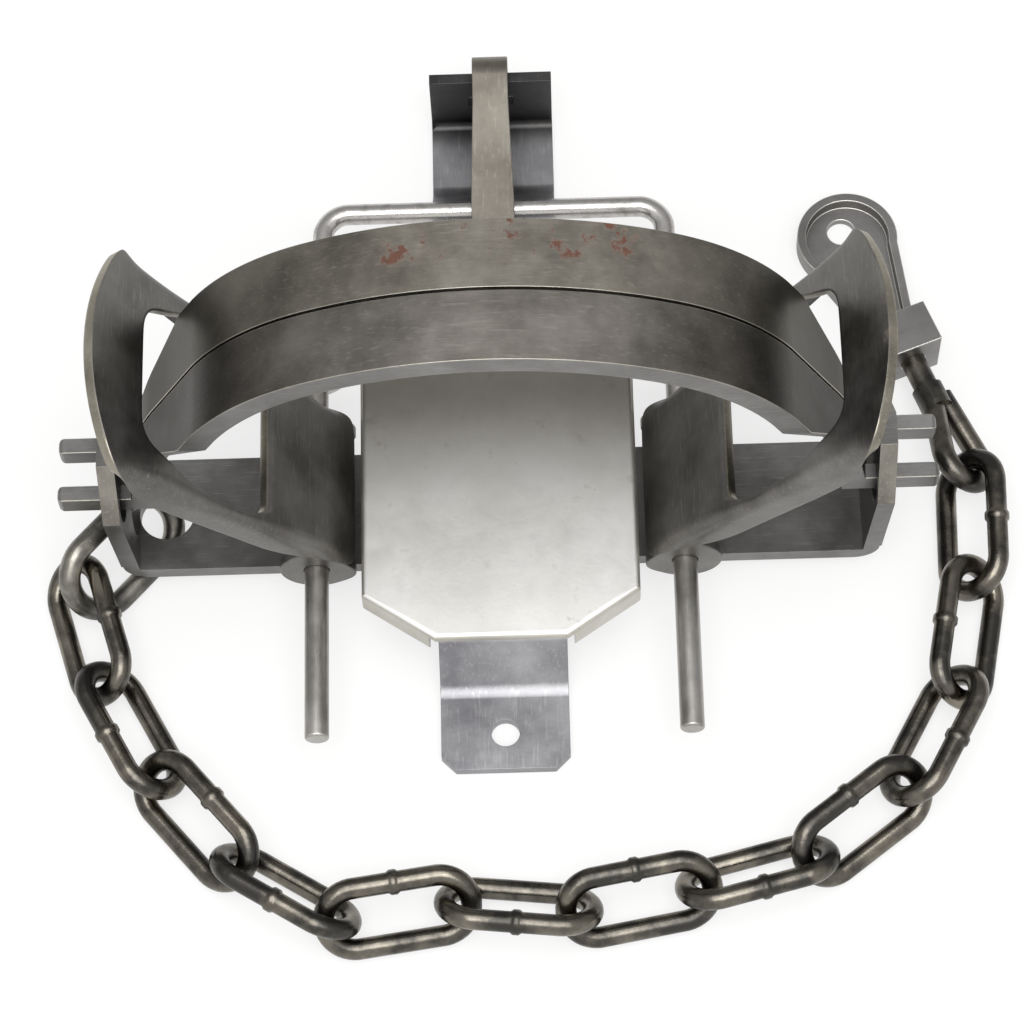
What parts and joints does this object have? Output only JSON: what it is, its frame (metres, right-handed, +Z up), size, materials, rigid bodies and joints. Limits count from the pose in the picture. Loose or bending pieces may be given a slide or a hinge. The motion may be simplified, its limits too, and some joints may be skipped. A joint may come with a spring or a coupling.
{
  "type": "coil-spring foothold trap",
  "caption": "Stamped-steel coil-spring foothold trap in its closed state, with pan, dog, welded chain and swivel.",
  "frame": {"origin": "middle of the base strip's underside", "axes": "+X along the base strip to its right post, +Y from the front tab to the dog post, +Z up"},
  "size_m": [0.1669, 0.166, 0.0868],
  "materials": {
    "frame_steel": "satin",
    "jaw_steel": "satin",
    "lever_steel": "satin",
    "pin_steel": "satin",
    "spring_wire": "polished",
    "pan_zinc": "satin",
    "dog_steel": "matte",
    "anchor_steel": "satin",
    "chain_steel": "satin",
    "swivel_zinc": "satin"
  },
  "bodies": {
    "frame": {"base_strip": "frame_steel", "cross_strip": "frame_steel", "rivets": "pin_steel", "left_pin": "pin_steel", "right_pin": "pin_steel", "coil_spring": "spring_wire", "pan_bolt": "pin_steel", "pan_nut": "pin_steel"},
    "left_lever_body": {"left_lever": "lever_steel"},
    "right_lever_body": {"right_lever": "lever_steel"},
    "front_jaw_body": {"front_jaw": "jaw_steel"},
    "rear_jaw_body": {"rear_jaw": "jaw_steel"},
    "pan_body": {"pan": "pan_zinc"},
    "dog_body": {"dog": "dog_steel"},
    "anchor_link_body": {"anchor_link": "anchor_steel"},
    "chain_link_01_body": {"chain_link_01": "chain_steel"},
    "chain_link_02_body": {"chain_link_02": "chain_steel"},
    "chain_link_03_body": {"chain_link_03": "chain_steel"},
    "chain_link_04_body": {"chain_link_04": "chain_steel"},
    "chain_link_05_body": {"chain_link_05": "chain_steel"},
    "chain_link_06_body": {"chain_link_06": "chain_steel"},
    "chain_link_07_body": {"chain_link_07": "chain_steel"},
    "chain_link_08_body": {"chain_link_08": "chain_steel"},
    "chain_link_09_body": {"chain_link_09": "chain_steel"},
    "chain_link_10_body": {"chain_link_10": "chain_steel"},
    "chain_link_11_body": {"chain_link_11": "chain_steel"},
    "chain_link_12_body": {"chain_link_12": "chain_steel"},
    "swivel_hook_body": {"swivel_hook": "chain_steel"},
    "swivel_strap_body": {"swivel_strap": "swivel_zinc"}
  },
  "joints": [
    {"name": "left_lever_hinge", "type": "hinge", "parent": "frame", "child": "left_lever_body", "pos_m": [-0.0315, 0, 0.0085], "axis": [0, -1, 0], "range_deg": [0, 57], "stiffness_Nm_per_rad": 0.8, "springref_deg": -20.05, "deforming": ["coil_spring"]},
    {"name": "right_lever_hinge", "type": "hinge", "parent": "frame", "child": "right_lever_body", "pos_m": [0.0315, 0, 0.0085], "axis": [0, 1, 0], "range_deg": [0, 57]},
    {"name": "front_jaw_hinge", "type": "hinge", "parent": "frame", "child": "front_jaw_body", "pos_m": [0, -0.0056, 0.02], "axis": [1, 0, 0], "range_deg": [0, 80]},
    {"name": "rear_jaw_hinge", "type": "hinge", "parent": "frame", "child": "rear_jaw_body", "pos_m": [0, 0.0056, 0.02], "axis": [-1, 0, 0], "range_deg": [0, 80]},
    {"name": "pan_hinge", "type": "hinge", "parent": "frame", "child": "pan_body", "pos_m": [0, 0.0175, 0.0096], "axis": [1, 0, 0], "range_deg": [-3, 7]},
    {"name": "dog_hinge", "type": "hinge", "parent": "frame", "child": "dog_body", "pos_m": [0, 0.0808, 0.0097], "axis": [-1, 0, 0], "range_deg": [0, 150]},
    {"name": "anchor_swing", "type": "hinge", "parent": "frame", "child": "anchor_link_body", "pos_m": [-0.05788, 0.0016, 0], "axis": [0, 0, 1], "range_deg": [-2, 2]},
    {"name": "chain_link_01_swing", "type": "hinge", "parent": "anchor_link_body", "child": "chain_link_01_body", "pos_m": [-0.074, -0.0109, 0], "axis": [0, 0, 1], "range_deg": [-4, 4]},
    {"name": "chain_link_02_swing", "type": "hinge", "parent": "chain_link_01_body", "child": "chain_link_02_body", "pos_m": [-0.0684, -0.03041, 0], "axis": [0, 0, -1], "range_deg": [-4, 4]},
    {"name": "chain_link_03_swing", "type": "hinge", "parent": "chain_link_02_body", "child": "chain_link_03_body", "pos_m": [-0.05887, -0.04834, 0], "axis": [0, 0, 1], "range_deg": [-4, 4]},
    {"name": "chain_link_04_swing", "type": "hinge", "parent": "chain_link_03_body", "child": "chain_link_04_body", "pos_m": [-0.04583, -0.06389, 0], "axis": [0, 0, -1], "range_deg": [-4, 4]},
    {"name": "chain_link_05_swing", "type": "hinge", "parent": "chain_link_04_body", "child": "chain_link_05_body", "pos_m": [-0.02861, -0.07465, 0], "axis": [0, 0, 1], "range_deg": [-4, 4]},
    {"name": "chain_link_06_swing", "type": "hinge", "parent": "chain_link_05_body", "child": "chain_link_06_body", "pos_m": [-0.00851, -0.07182, 0], "axis": [0, 0, -1], "range_deg": [-4, 4]},
    {"name": "chain_link_07_swing", "type": "hinge", "parent": "chain_link_06_body", "child": "chain_link_07_body", "pos_m": [0.01168, -0.07394, 0], "axis": [0, 0, 1], "range_deg": [-4, 4]},
    {"name": "chain_link_08_swing", "type": "hinge", "parent": "chain_link_07_body", "child": "chain_link_08_body", "pos_m": [0.03167, -0.07042, 0], "axis": [0, 0, -1], "range_deg": [-4, 4]},
    {"name": "chain_link_09_swing", "type": "hinge", "parent": "chain_link_08_body", "child": "chain_link_09_body", "pos_m": [0.05137, -0.06551, 0], "axis": [0, 0, 1], "range_deg": [-4, 4]},
    {"name": "chain_link_10_swing", "type": "hinge", "parent": "chain_link_09_body", "child": "chain_link_10_body", "pos_m": [0.06758, -0.05329, 0], "axis": [0, 0, -1], "range_deg": [-4, 4]},
    {"name": "chain_link_11_swing", "type": "hinge", "parent": "chain_link_10_body", "child": "chain_link_11_body", "pos_m": [0.07742, -0.03553, 0], "axis": [0, 0, 1], "range_deg": [-4, 4]},
    {"name": "chain_link_12_swing", "type": "hinge", "parent": "chain_link_11_body", "child": "chain_link_12_body", "pos_m": [0.0813, -0.01561, 0], "axis": [0, 0, -1], "range_deg": [-4, 4]},
    {"name": "hook_swing", "type": "hinge", "parent": "chain_link_12_body", "child": "swivel_hook_body", "pos_m": [0.082, 0.00468, 0], "axis": [0, 0, 1], "range_deg": [-3, 3]},
    {"name": "swivel_spin", "type": "hinge", "parent": "swivel_hook_body", "child": "swivel_strap_body", "pos_m": [0.081, 0.00729, 0.00091], "axis": [-0.3584, 0.9336, 0], "continuous": true}
  ],
  "couplings": [
    {"joint": "right_lever_hinge", "follows": "left_lever_hinge", "ratio": 1},
    {"joint": "front_jaw_hinge", "follows": "left_lever_hinge", "ratio": 1.4},
    {"joint": "rear_jaw_hinge", "follows": "left_lever_hinge", "ratio": 1.4}
  ]
}
